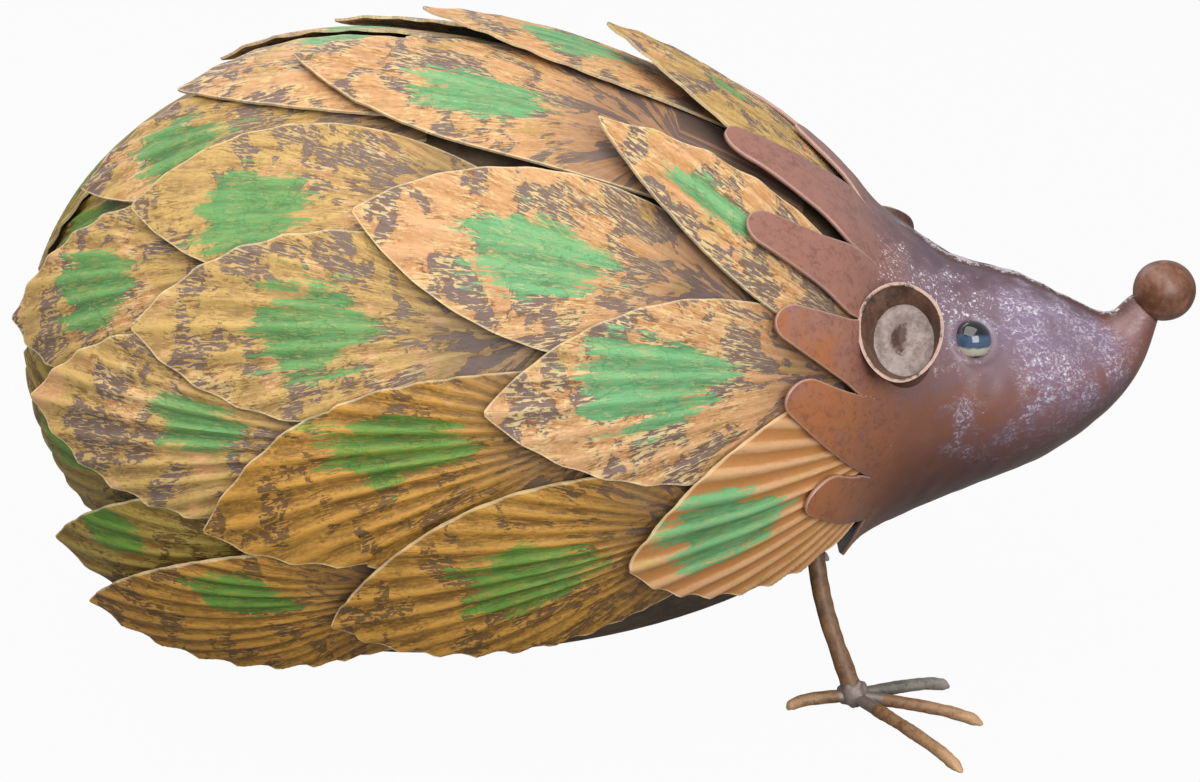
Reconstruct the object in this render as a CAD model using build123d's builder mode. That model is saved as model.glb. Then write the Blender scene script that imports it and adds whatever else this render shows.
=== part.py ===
"""Hedgehog figurine: a hollow body covered with overlapping leaf plates, a hollow head and two wire feet.

Millimetres, +X towards the nose, +Y to the animal's left, +Z up, ground at Z = 0.
"""
import os
from dataclasses import dataclass
from math import cos, hypot, radians, sin, sqrt

from build123d import *

# Fits between pieces
seat_gap = 0.3
snug_gap = 0.15
cut_overrun = 25

# Body core, an egg of revolution about an axis that dips slightly towards the nose
core_radius = 92.5
core_rear_reach = 104
core_front_reach = 163
core_wall = 1.2
core_x = -61.71
core_height = 88.5
core_dip = 1
core_mouth_angle = 64

# Belly plate
belly_thickness = 1.2

# Leaf plates
leaf_width = 50
leaf_shoulder = 57
leaf_stem_width = 20
leaf_thickness = 0.8
leaf_lift_per_degree = 0.30
leaf_taper_power = 1.7
leaf_spare_angle = 2

# Head, a cone with a skirt of tongues that lie over the collar
head_wall = 1.2
head_lift_per_degree = 0.33
head_seat_angle = 64.5
skirt_angles = (26, 30, 34, 38, 42, 47, 52, 58)
snout_reach = 76
snout_radius = 51
snout_rise = 12.5
neck_radius = 5.2
neck_forward = 5.2
neck_rise = 9.8
neck_angle = 50
tongue_length = 45.5
tongue_stub = 8
tongue_stub_width = 24
tongue_tip_radius = 5.2

# Nose, eyes and ears
nose_radius = 9.1
eye_radius = 5.8
eye_sink = 1.9
eye_reach = 27.75
eye_around = 54
ear_reach = 4.5
ear_around = 61
ear_rim_width = 23
ear_rim_height = 28
ear_waist_share = 0.80
ear_depth = 10
ear_root_depth = 9.5
ear_wall = 0.9
ear_disc_depth = 5
ear_disc_thickness = 0.8
ear_lean_ahead = 1.6
ear_lean_down = 1.3
ear_out, ear_up = 0.83, 0.56

# Legs and toes
leg_radius = 2.7
ankle_radius = 5.6
toe_radius = 1.75
toe_ankle_height = 5
toe_knuckle_share = 0.72
toe_knuckle_height = 4
toe_bend_radius = 6
right_foot_reach, left_foot_reach = 138, 106
foot_spread = 57.5
leg_lean = 13
leg_splay = 30
leg_height = 50
knee_lean_share = 0.75


@dataclass(frozen=True)
class Leaf:
    """One leaf plate: where its tip and its stem lie on the core, in degrees along and around it."""

    name: str
    tip_along: float
    tip_around: float
    stem_along: float
    stem_around: float
    width_share: float
    lift_share: float
    stem_share: float = 1


side_leaves = (
    Leaf("collar_low", 25, 107.5, 60, 104, 1.25, 1.10),
    Leaf("collar_mid", 12, 79.7, 53, 74, 1.00, 0.90, 1.3),
    Leaf("collar_high", 20.3, 30, 57, 58, 0.68, 1.08),
    Leaf("shoulder_low", -2.5, 115, 43, 103, 1.20, 1.10),
    Leaf("shoulder_mid", -18, 99.5, 32, 80.5, 1.00, 1.07),
    Leaf("shoulder_high", 0, 51, 41, 60, 1.00, 0.90),
    Leaf("shoulder_top", -13, 16.5, 46, 30, 1.00, 0.53, 1.4),
    Leaf("flank_low", -39, 127, 20, 109, 1.06, 1.30),
    Leaf("flank_mid", -28.5, 69, 23, 67, 1.02, 1.00),
    Leaf("flank_high", -33, 47, 14, 48, 1.00, 0.80),
    Leaf("flank_top", -32, 16, 22, 17, 0.92, 0.57),
    Leaf("rump_low", -47, 119, 3, 104, 1.00, 1.27),
    Leaf("rump_mid", -46.5, 83, 12, 86, 1.04, 1.10),
    Leaf("rump_high", -60, 66, -13, 58, 1.00, 1.10),
    Leaf("rump_top", -47, 35, 5, 27, 0.96, 0.67),
    Leaf("tail_low", -74, 150, -22, 150, 1.18, 0.38),
    Leaf("tail_mid", -78, 100, -27, 98, 1.25, 0.65),
    Leaf("tail_high", -76, 46, -27, 42, 1.15, 0.42),
)
middle_leaves = (
    Leaf("crown_plate", 19.5, -1, 56, 9, 1.05, 1.38, 1.6),
    Leaf("ridge_plate", 2, 0, 46, 0, 0.92, 0.90),
    Leaf("tail_plate", -82, 0, -16, 0, 1.10, 0.50),
)

# Where the leaf outline is drawn through: shares of the blade from the tip, then of the stem
blade_shares = (0.12, 0.35, 0.65, 1.0)
stem_shares = (0.35, 0.7, 1.0)

# Snout sections: shares of its reach, radius and rise, and the lean of each section
snout_shares = (
    (0.14, 0.867, -0.05, 0),
    (0.31, 0.731, -0.10, 0),
    (0.51, 0.627, 0.02, 0),
    (0.70, 0.506, 0.24, 8),
    (0.88, 0.337, 0.58, 22),
    (1.00, 0.186, 1.00, 38),
)

# Tongues of one side: angle round the head and half angle at the root, shares of the length for the
# whole tongue and its straight root, and the angle that its tip is turned towards the top
tongue_shares = (
    (24.5, 12.5, 1.00, 0.20, 0),
    (47, 10.5, 0.85, 0.20, 3.2),
    (69, 11.5, 0.66, 0.08, 6.5),
    (94, 13.8, 0.58, 0.02, 16),
    (119, 11.5, 0.42, 0.02, 15),
)
top_tongue_shares = (0, 12, 0.55, 0.10, 0)

# Toes: name, length, heading from straight ahead towards the outside
toes = (
    ("outer", 45, 51),
    ("middle", 38, 12),
    ("inner", 33, -26),
    ("hind", 20, 172),
)

core_centre = Vector(core_x, 0, core_height)
forward = Vector(cos(radians(core_dip)), 0, -sin(radians(core_dip)))
upward = Vector(sin(radians(core_dip)), 0, cos(radians(core_dip)))
rightward = Vector(0, -1, 0)
core_axis = Axis(core_centre, forward)
leaf_reach = core_radius
parts = []


def outward(around):
    """Direction away from the core's axis, in degrees from the top towards the right side."""
    return upward * cos(radians(around)) + rightward * sin(radians(around))


def meridian(around):
    """Plane through the core's axis: its x runs forward and its y outward."""
    return Plane(origin=core_centre, x_dir=forward, z_dir=forward.cross(outward(around)))


def station(along, height):
    """Reach along the axis and radius of a place at a height over the core."""
    reach = core_rear_reach if along < 0 else core_front_reach
    return (reach + height) * sin(radians(along)), (core_radius + height) * cos(radians(along))


def place(along, around, height):
    """Place in space over the core."""
    reach, radius = station(along, height)
    return core_centre + forward * reach + outward(around) * radius


def leaf_height(leaf, along):
    """Height of a leaf's underside over the core: it rises from its stem to its tip."""
    return seat_gap + max(0, leaf.stem_along - along) * leaf_lift_per_degree * leaf.lift_share


def leaf_spot(leaf, share, aside):
    """Along and around of a spot on a leaf: a share from stem to tip and a distance to the side."""
    along = leaf.stem_along + (leaf.tip_along - leaf.stem_along) * share
    around = leaf.stem_around + (leaf.tip_around - leaf.stem_around) * share
    height = leaf_height(leaf, along)
    reach = (core_rear_reach if along < 0 else core_front_reach) + height
    along_step = radians(hypot(reach * cos(radians(along)), (core_radius + height) * sin(radians(along))))
    around_step = radians((core_radius + height) * cos(radians(along)))
    run = (leaf.tip_along - leaf.stem_along) * along_step
    drift = (leaf.tip_around - leaf.stem_around) * around_step
    length = hypot(run, drift)
    spot_along = along + aside * drift / length / along_step
    return spot_along, around - aside * run / length / around_step


def leaf_line(leaf, count=40):
    """Shares from stem to tip and the distance of each from the tip."""
    shares = [step / count for step in range(count + 1)]
    spots = []
    for share in shares:
        along, around = leaf_spot(leaf, share, 0)
        spots.append(place(along, around, leaf_height(leaf, along)))
    left = [0.0]
    for nearer, farther in zip(spots[::-1], spots[-2::-1]):
        left.append(left[-1] + (nearer - farther).length)
    return shares[::-1], left


def leaf_share(line, distance):
    """Share from stem to tip at a distance from the tip."""
    shares, left = line
    for index in range(1, len(left)):
        if left[index] >= distance:
            part_way = (distance - left[index - 1]) / (left[index] - left[index - 1])
            return shares[index - 1] + (shares[index] - shares[index - 1]) * part_way
    return shares[-1]


def leaf_outline(leaf):
    """Both sides of a leaf's outline from its tip to its stem, as along and around in degrees."""
    line = leaf_line(leaf)
    half = leaf_width * leaf.width_share / 2
    bow = (leaf_shoulder**2 + half**2) / (2 * half)
    stem = line[1][-1] - leaf_shoulder
    stem_half = leaf_stem_width * leaf.stem_share / 2
    spread = [(0, 0)]
    for share in blade_shares:
        back = leaf_shoulder * (1 - share)
        spread.append((leaf_shoulder * share, sqrt(bow**2 - back**2) - bow + half))
    for share in stem_shares:
        spread.append((leaf_shoulder + stem * share, half - (half - stem_half) * share**leaf_taper_power))
    sides = []
    for sign in (1, -1):
        spots = [leaf_spot(leaf, leaf_share(line, distance), sign * aside) for distance, aside in spread]
        sides.append(spots)
    return sides


def make_leaf(leaf, name):
    """A thin shell that follows the core at the leaf's height, trimmed to the leaf's outline."""
    sides = leaf_outline(leaf)
    alongs = [along for side in sides for along, _ in side]
    arounds = [around for side in sides for _, around in side]
    first, last = max(alongs) + leaf_spare_angle, min(alongs) - leaf_spare_angle
    steps = [first + (last - first) * step / 10 for step in range(11)]
    low = [station(along, leaf_height(leaf, along)) for along in steps]
    high = [station(along, leaf_height(leaf, along) + leaf_thickness) for along in steps]
    points = [[place(along, around, leaf_height(leaf, along)) for along, around in side] for side in sides]
    tip, stem = points[0][0], (points[0][-1] + points[1][-1]) / 2
    run = tip - stem
    over = outward((leaf.tip_around + leaf.stem_around) / 2)
    middle = place((leaf.tip_along + leaf.stem_along) / 2, (leaf.tip_around + leaf.stem_around) / 2, 0)
    flat = Plane(origin=middle, x_dir=run, z_dir=over - run * (over.dot(run) / run.dot(run)))
    with BuildPart() as made:
        with BuildSketch(meridian(min(arounds) - leaf_spare_angle)):
            with BuildLine():
                under = Spline(*low)
                upper = Spline(*high)
                Line(under @ 0, upper @ 0)
                Line(under @ 1, upper @ 1)
            make_face()
        revolve(axis=core_axis, revolution_arc=max(arounds) - min(arounds) + 2 * leaf_spare_angle)
        with BuildSketch(flat):
            with BuildLine():
                edges = []
                for side in points:
                    local = [flat.to_local_coords(point) for point in side]
                    edges.append(Spline(*[(point.X, point.Y) for point in local]))
                Line(edges[0] @ 1, edges[1] @ 1)
            make_face()
        extrude(amount=leaf_reach, both=True, mode=Mode.INTERSECT)
    keep(made, name)


def keep(made, name):
    """Label a finished piece and put it by for export."""
    made.part.label = name
    parts.append((name, made.part))


def flip(leaf):
    """The same leaf on the other side."""
    return Leaf(leaf.name, leaf.tip_along, -leaf.tip_around, leaf.stem_along, -leaf.stem_around,
                leaf.width_share, leaf.lift_share, leaf.stem_share)


def egg(grow):
    """Solid of the core's shape, grown by a distance, cut off at its mouth."""
    mouth = core_front_reach * sin(radians(core_mouth_angle))
    with BuildPart() as made:
        with BuildSketch(meridian(0)):
            with BuildLine():
                EllipticalCenterArc((0, 0), core_front_reach + grow, core_radius + grow, 0, arc_size=90)
                EllipticalCenterArc((0, 0), core_rear_reach + grow, core_radius + grow, 90, arc_size=90)
                Line((-core_rear_reach - grow, 0), (core_front_reach + grow, 0))
            make_face()
            with BuildLine():
                Polyline(
                    (mouth, 0),
                    (mouth, core_radius),
                    (core_front_reach + cut_overrun, core_radius),
                    (core_front_reach + cut_overrun, 0),
                    close=True,
                )
            make_face(mode=Mode.SUBTRACT)
        revolve(axis=core_axis)
    return made.part


def head_sections(grow):
    """Planes and radii of the head's sections, from the tongue tips to the neck."""
    sections = []
    for angle in skirt_angles:
        height = seat_gap + (head_seat_angle - angle) * head_lift_per_degree
        reach, radius = station(angle, height + head_wall)
        sections.append((reach, 0, 0, radius))
    root = sections[-1][0]
    for reach_share, radius_share, rise_share, lean in snout_shares:
        reach = root + snout_reach * reach_share
        sections.append((reach, snout_rise * rise_share, lean, snout_radius * radius_share))
    tip_reach, tip_rise = sections[-1][0], sections[-1][1]
    sections.append((tip_reach + neck_forward, tip_rise + neck_rise, neck_angle, neck_radius))
    planes = []
    for reach, rise, lean, radius in sections:
        centre = core_centre + forward * reach + upward * rise
        normal = forward * cos(radians(lean)) + upward * sin(radians(lean))
        planes.append((Plane(origin=centre, x_dir=(0, 1, 0), z_dir=normal), radius + grow))
    return planes


def head_solid(grow):
    """Solid of the head's shape, grown by a distance."""
    with BuildPart() as made:
        for plane, radius in head_sections(grow):
            with BuildSketch(plane):
                Circle(radius)
        loft()
    return made.part


def head_spot(reach, around):
    """Place on the head's surface ahead of the tongue roots, and the way out from it there."""
    root = head_sections(0)[len(skirt_angles) - 1]
    rows = [(0, root[1] / snout_radius, 0, 0)] + list(snout_shares)
    for near, far in zip(rows, rows[1:]):
        if far[0] * snout_reach >= reach:
            break
    share = (reach / snout_reach - near[0]) / (far[0] - near[0])
    radius = (near[1] + (far[1] - near[1]) * share) * snout_radius
    rise = (near[2] + (far[2] - near[2]) * share) * snout_rise
    slope = (near[1] - far[1]) * snout_radius / ((far[0] - near[0]) * snout_reach)
    spot = root[0].origin + forward * reach + upward * rise + outward(around) * radius
    return spot, (outward(around) + forward * slope).normalized()


def mirrored(part, name):
    """The same piece on the other side."""
    with BuildPart() as made:
        add(part)
        mirror(about=Plane.XZ, mode=Mode.REPLACE)
    keep(made, name)


# Body core in two half shells, and the belly plate that closes it below
core_outside = egg(0)
core_inside = egg(-core_wall)
core_envelope = egg(seat_gap)
floor_plane = Plane.XY.offset(belly_thickness)
for side, kept in (("right", Keep.TOP), ("left", Keep.BOTTOM)):
    with BuildPart() as core_half:
        add(core_outside)
        add(core_inside, mode=Mode.SUBTRACT)
        split(bisect_by=floor_plane, keep=Keep.TOP)
        split(bisect_by=Plane.XZ, keep=kept)
    keep(core_half, "core_" + side)

with BuildPart() as belly_plate:
    add(core_outside)
    split(bisect_by=floor_plane, keep=Keep.BOTTOM)
    split(bisect_by=Plane.XY, keep=Keep.TOP)
keep(belly_plate, "belly_plate")

# Leaf plates
for leaf in side_leaves:
    make_leaf(leaf, "right_" + leaf.name)
    make_leaf(flip(leaf), "left_" + leaf.name)
for leaf in middle_leaves:
    make_leaf(leaf, leaf.name)

# Head with its skirt of tongues
skirt_root = head_sections(0)[len(skirt_angles) - 1][0].origin
tongues = [top_tongue_shares] + list(tongue_shares)
for centre, half, length_share, straight_share, tip_turn in tongue_shares:
    tongues.append((-centre, half, length_share, straight_share, -tip_turn))


def skirt_radius(behind):
    """Radius of the skirt's outside at a distance behind the tongue roots."""
    rows = [(skirt_root - plane.origin, radius) for plane, radius in head_sections(0)[: len(skirt_angles)]]
    rows = [(way.dot(forward), radius) for way, radius in rows][::-1]
    for near, far in zip(rows, rows[1:]):
        if far[0] >= behind:
            break
    return near[1] + (far[1] - near[1]) * (behind - near[0]) / (far[0] - near[0])


with BuildPart() as notches:
    with BuildSketch(Plane(origin=skirt_root, x_dir=(0, 1, 0), z_dir=forward)):
        Circle(core_radius + cut_overrun)
    extrude(amount=-tongue_length - cut_overrun)
    for centre, half, length_share, straight_share, tip_turn in tongues:
        reach = tongue_length * length_share - tongue_tip_radius
        root_radius = skirt_radius(0) * sin(radians(half))
        with BuildSketch(Plane(origin=skirt_root, x_dir=-forward, z_dir=outward(centre))):
            Circle(root_radius)
            with Locations((tongue_length * straight_share, 0)):
                Circle(root_radius)
            with Locations((reach, -skirt_radius(reach) * sin(radians(tip_turn)))):
                Circle(tongue_tip_radius)
            make_hull()
        extrude(amount=core_radius + cut_overrun, mode=Mode.SUBTRACT)
    with BuildSketch(Plane(origin=skirt_root, x_dir=-forward, z_dir=-upward)):
        with BuildLine():
            Polyline(
                (-tongue_stub, -tongue_stub_width),
                (tongue_stub, -tongue_stub_width / 2),
                (tongue_stub, tongue_stub_width / 2),
                (-tongue_stub, tongue_stub_width),
                close=True,
            )
        make_face()
    extrude(amount=core_radius + cut_overrun, mode=Mode.SUBTRACT)

head_outside = head_solid(0)
head_inside = head_solid(-head_wall)
head_envelope = head_solid(snug_gap)
eye_spot, eye_way = head_spot(eye_reach, eye_around)
eye_centre = eye_spot - eye_way * eye_sink
neck_plane = head_sections(0)[-1][0]
nose_stand = sqrt(nose_radius**2 - neck_radius**2)
with BuildPart() as head_shell:
    add(head_outside)
    add(head_inside, mode=Mode.SUBTRACT)
    add(notches.part, mode=Mode.SUBTRACT)
    for side in (1, -1):
        with Locations((eye_centre.X, side * eye_centre.Y, eye_centre.Z)):
            Sphere(eye_radius + snug_gap, mode=Mode.SUBTRACT)
    with Locations(neck_plane.offset(nose_stand)):
        Sphere(nose_radius + snug_gap, mode=Mode.SUBTRACT)
keep(head_shell, "head_shell")

# Nose ball on the end of the neck
with BuildPart() as nose_ball:
    with Locations(neck_plane.offset(nose_stand)):
        Sphere(nose_radius)
keep(nose_ball, "nose_ball")

# Eyes
with BuildPart() as right_eye:
    with Locations(Location(eye_centre)):
        Sphere(eye_radius)
keep(right_eye, "right_eye")
mirrored(right_eye.part, "left_eye")

# Ears: an oval cup cut to sit on the head, with a pressed disc inside
ear_spot, _ = head_spot(ear_reach, ear_around)
ear_way = Vector(0, -ear_out, ear_up).normalized()
ear_ahead = Vector(1, 0, 0)


def ear_oval(depth, inset):
    """Half width and half height of the ear at a depth below its rim, inset from its outside."""
    share = 1 - (1 - ear_waist_share) * min(1, depth / ear_disc_depth)
    return ear_rim_width / 2 * share - inset, ear_rim_height / 2 * share - inset


def ear_section(depth):
    """Plane across the ear at a depth below its rim; the cup leans ahead and down to its waist."""
    share = min(1, depth / ear_disc_depth)
    lean = ear_ahead * ear_lean_ahead - ear_way.cross(ear_ahead) * ear_lean_down
    centre = ear_spot + ear_way * (ear_depth - depth) + lean * share
    return Plane(origin=centre, x_dir=ear_ahead, z_dir=ear_way)


with BuildPart() as right_ear_cup:
    for inset, mode in ((0, Mode.ADD), (ear_wall, Mode.SUBTRACT)):
        for depth in (ear_depth + ear_root_depth, ear_disc_depth, 0):
            with BuildSketch(ear_section(depth)):
                Ellipse(*ear_oval(depth, inset))
        loft(ruled=True, mode=mode)
    add(head_envelope, mode=Mode.SUBTRACT)
keep(right_ear_cup, "right_ear_cup")
mirrored(right_ear_cup.part, "left_ear_cup")

with BuildPart() as right_ear_disc:
    with BuildSketch(ear_section(ear_disc_depth)):
        Ellipse(*ear_oval(ear_disc_depth, ear_wall + snug_gap))
    extrude(amount=-ear_disc_thickness)
    add(head_envelope, mode=Mode.SUBTRACT)
keep(right_ear_disc, "right_ear_disc")
mirrored(right_ear_disc.part, "left_ear_disc")

# Legs cut to sit against the core, and toes cut to sit against the ankles
for side, sign, foot_reach in (("right", -1, right_foot_reach), ("left", 1, left_foot_reach)):
    ankle = Vector(core_x + foot_reach, sign * foot_spread, ankle_radius)
    hip = ankle + Vector(-leg_lean, -sign * leg_splay, leg_height)
    knee = ankle + Vector(-leg_lean * knee_lean_share, -sign * leg_splay / 2, leg_height / 2)
    with BuildPart() as leg:
        with BuildLine():
            leg_path = Spline(hip, knee, ankle)
        with BuildSketch(Plane(origin=leg_path @ 0, z_dir=leg_path % 0)):
            Circle(leg_radius)
        sweep(path=leg_path)
        with Locations(Location(ankle)):
            Sphere(ankle_radius)
        add(core_envelope, mode=Mode.SUBTRACT)
    keep(leg, side + "_leg")
    for toe_name, toe_length, heading in toes:
        away = Vector(cos(radians(heading)), sign * sin(radians(heading)), 0)
        start = Vector(ankle.X, ankle.Y, toe_ankle_height)
        knuckle = Vector(ankle.X, ankle.Y, toe_knuckle_height) + away * (toe_length * toe_knuckle_share)
        tip = Vector(ankle.X, ankle.Y, toe_radius) + away * (toe_length - toe_radius)
        with BuildPart() as toe:
            with BuildLine():
                toe_path = FilletPolyline(start, knuckle, tip, radius=toe_bend_radius)
            with BuildSketch(Plane(origin=toe_path @ 0, z_dir=toe_path % 0)):
                Circle(toe_radius)
            sweep(path=toe_path)
            with Locations(Location(tip)):
                Sphere(toe_radius)
            with Locations(Location(ankle)):
                Sphere(ankle_radius + snug_gap, mode=Mode.SUBTRACT)
        keep(toe, side + "_toe_" + toe_name)

os.makedirs("parts", exist_ok=True)
for name, part in parts:
    export_step(part, "parts/" + name + ".step")
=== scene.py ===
"""Looks of the hedgehog figurine: fluted leaf plates, a copper-brown head, cup ears and wire feet.

Metres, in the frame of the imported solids: +X towards the nose, +Y to the animal's left, ground at Z = 0.
"""
from __future__ import annotations

import logging
import math
from dataclasses import dataclass, replace
from enum import Enum

import bpy
import numpy as np
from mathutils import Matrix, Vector

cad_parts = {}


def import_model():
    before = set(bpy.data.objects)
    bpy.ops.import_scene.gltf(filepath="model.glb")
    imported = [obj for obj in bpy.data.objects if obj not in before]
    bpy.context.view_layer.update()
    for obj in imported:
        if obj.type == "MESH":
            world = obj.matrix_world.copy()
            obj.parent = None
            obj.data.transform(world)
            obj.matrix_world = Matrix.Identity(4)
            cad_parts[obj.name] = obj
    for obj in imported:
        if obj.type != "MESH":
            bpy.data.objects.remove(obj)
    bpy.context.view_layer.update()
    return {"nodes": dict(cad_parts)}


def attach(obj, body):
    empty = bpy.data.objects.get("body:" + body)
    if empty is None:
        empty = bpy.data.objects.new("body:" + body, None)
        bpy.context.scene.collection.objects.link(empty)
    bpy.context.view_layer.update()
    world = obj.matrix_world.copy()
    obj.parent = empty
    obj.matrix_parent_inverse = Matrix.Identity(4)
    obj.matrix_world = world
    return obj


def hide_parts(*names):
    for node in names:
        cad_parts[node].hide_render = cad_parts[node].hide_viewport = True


log = logging.getLogger("hedgehog")
Array = np.ndarray
BODY = "root"
CM, MM = 100, 1000
SIDES = ((1, "right"), (-1, "left"))


def colour(code: str) -> tuple[float, float, float, float]:
    """Linear colour of a #rrggbb code.

    Args:
        code: Hex code in sRGB.

    Returns:
        Red, green, blue and alpha, as a shader socket takes them.
    """
    parts = [int(code[place : place + 2], 16) / 255 for place in (1, 3, 5)]
    linear = [part / 12.92 if part <= 0.04045 else ((part + 0.055) / 1.055) ** 2.4 for part in parts]
    return (linear[0], linear[1], linear[2], 1.0)


def ease(value: Array, low: float, high: float) -> Array:
    """Smooth step: 0 below low, 1 above high, 3t^2 - 2t^3 between them."""
    share = np.clip((value - low) / (high - low), 0, 1)
    return share * share * (3 - 2 * share)


def smooth_through(knots: Array, count: int) -> Array:
    """Smooth curve through knots: each span is a cubic whose end slopes are half the chord of its neighbours.

    Args:
        knots: One row of numbers for each knot.
        count: Number of rows wanted along the curve.

    Returns:
        Rows of the curve, evenly spread over the spans.
    """
    knots = np.asarray(knots, float)
    slopes = np.gradient(knots, axis=0)
    where = np.linspace(0, len(knots) - 1, count)
    first = np.minimum(where.astype(int), len(knots) - 2)
    t = (where - first)[:, None]
    near = knots[first] * (1 + 2 * t) * (1 - t) ** 2 + slopes[first] * t * (1 - t) ** 2
    far = knots[first + 1] * t**2 * (3 - 2 * t) - slopes[first + 1] * t**2 * (1 - t)
    return near + far


def ripple(points: Array, wavelength: float, seed: int) -> Array:
    """Soft unevenness: the mean of six sine waves of about one wavelength in seeded directions, from -1 to 1."""
    draws = np.random.default_rng(seed)
    ways = draws.normal(size=(6, 3))
    ways *= (2 * math.pi / wavelength) * draws.uniform(0.6, 1.5, (6, 1)) / np.linalg.norm(ways, axis=1)[:, None]
    return np.sin(points @ ways.T + draws.uniform(0, 2 * math.pi, 6)).mean(axis=-1)


def whole_turn(count: int) -> Array:
    """Evenly spread angles of a whole turn, in one row."""
    return np.linspace(0, 2 * math.pi, count, endpoint=False)[None, :]


def sphere_ways(columns: int, rows: int, margin: float) -> Array:
    """Directions to a ball's surface: rings of latitude that stop short of the poles by a margin in radians."""
    turn = whole_turn(columns)
    tilt = np.linspace(margin, math.pi - margin, rows)[:, None]
    return np.stack(np.broadcast_arrays(np.sin(tilt) * np.cos(turn), np.sin(tilt) * np.sin(turn), np.cos(tilt)), -1)


def link(name: str, data: bpy.types.ID) -> bpy.types.Object:
    """A new object that holds the data, linked to the scene at the origin."""
    made = bpy.data.objects.new(name, data)
    bpy.context.scene.collection.objects.link(made)
    return made


class Form:
    """Points, faces and per-point marks of one piece, put together from grids."""

    def __init__(self) -> None:
        """Start with nothing."""
        self.points: list[Array] = []
        self.faces: list[list[int]] = []
        self.marks: dict[str, list[Array]] = {}
        self.count = 0

    @staticmethod
    def quads(rows: int, columns: int, wrap: bool = False) -> Array:
        """Corner numbers of the quads of a grid, whose last column joins the first where it wraps."""
        index = np.arange(rows * columns).reshape(rows, columns)
        if wrap:
            index = np.concatenate([index, index[:, :1]], axis=1)
        corners = [index[:-1, :-1], index[:-1, 1:], index[1:, 1:], index[1:, :-1]]
        return np.stack(corners, axis=-1).reshape(-1, 4)

    def add(self, points: Array, quads: Array, caps: tuple = (), **marks: Array) -> None:
        """Add one surface, turned so that it faces away from its own middle.

        Args:
            points: Points of the surface, any grid shape.
            quads: Corner numbers, four to a face.
            caps: Faces of more corners that close its ends.
            marks: Numbers for each point, or one number for all.
        """
        flat = points.reshape(-1, 3)
        corners = (flat - flat.mean(axis=0))[quads]
        across = np.cross(corners[:, 2] - corners[:, 0], corners[:, 3] - corners[:, 1])
        inward = np.einsum("ij,ij->", across, corners.mean(axis=1)) < 0
        step = -1 if inward else 1
        self.faces += (quads[:, ::step] + self.count).tolist()
        self.faces += [(np.asarray(cap)[::step] + self.count).tolist() for cap in caps]
        for name, value in marks.items():
            whole = np.broadcast_to(value, points.shape[:-1]).reshape(-1)
            self.marks.setdefault(name, []).append(whole)
        self.points.append(flat)
        self.count += len(flat)

    def sheet(self, top: Array, bottom: Array, **marks: Array) -> None:
        """Add a thin sheet: two grids and the rim between them."""
        rows, columns = top.shape[:2]
        index = np.arange(rows * columns).reshape(rows, columns)
        around = np.concatenate([index[0, :-1], index[:-1, -1], index[-1, :0:-1], index[:0:-1, 0]])
        after = np.roll(around, -1)
        below = rows * columns
        face = self.quads(rows, columns)
        rim = np.stack([around + below, after + below, after, around], axis=-1)
        both = {name: np.stack([np.broadcast_to(value, (rows, columns))] * 2) for name, value in marks.items()}
        self.add(np.stack([top, bottom]), np.concatenate([face, face[:, ::-1] + below, rim]), **both)

    def tube(self, rings: Array, **marks: Array) -> None:
        """Add a closed tube: rings joined in order, with a cap on each end."""
        rows, columns = rings.shape[:2]
        last = np.arange(columns) + (rows - 1) * columns
        self.add(rings, self.quads(rows, columns, wrap=True), (np.arange(columns)[::-1], last), **marks)

    def piece(self, name: str, merge: bool = False, crease: float = 50) -> bpy.types.Object:
        """Make the object.

        Args:
            name: Name of the piece.
            merge: Whether points at the same place become one.
            crease: Angle in degrees over which an edge stays sharp.

        Returns:
            The object, linked to the scene, at the origin.
        """
        points = np.concatenate(self.points)
        marks = {key: np.concatenate(values) for key, values in self.marks.items()}
        faces = self.faces
        if merge:
            grain = np.round(points * 1e7).astype(np.int64)
            _, kept, moved = np.unique(grain, axis=0, return_index=True, return_inverse=True)
            moved = moved.reshape(-1)
            points = points[kept]
            marks = {key: value[kept] for key, value in marks.items()}
            faces = [moved[face].tolist() for face in map(np.asarray, faces)]
        mesh = bpy.data.meshes.new(name)
        mesh.from_pydata(points.tolist(), [], faces)
        for key, value in marks.items():
            layer = mesh.attributes.new(key, "FLOAT", "POINT")
            layer.data.foreach_set("value", value.astype(np.float32))
        mesh.shade_smooth()
        mesh.set_sharp_from_angle(angle=math.radians(crease))
        return link(name, mesh)


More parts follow.
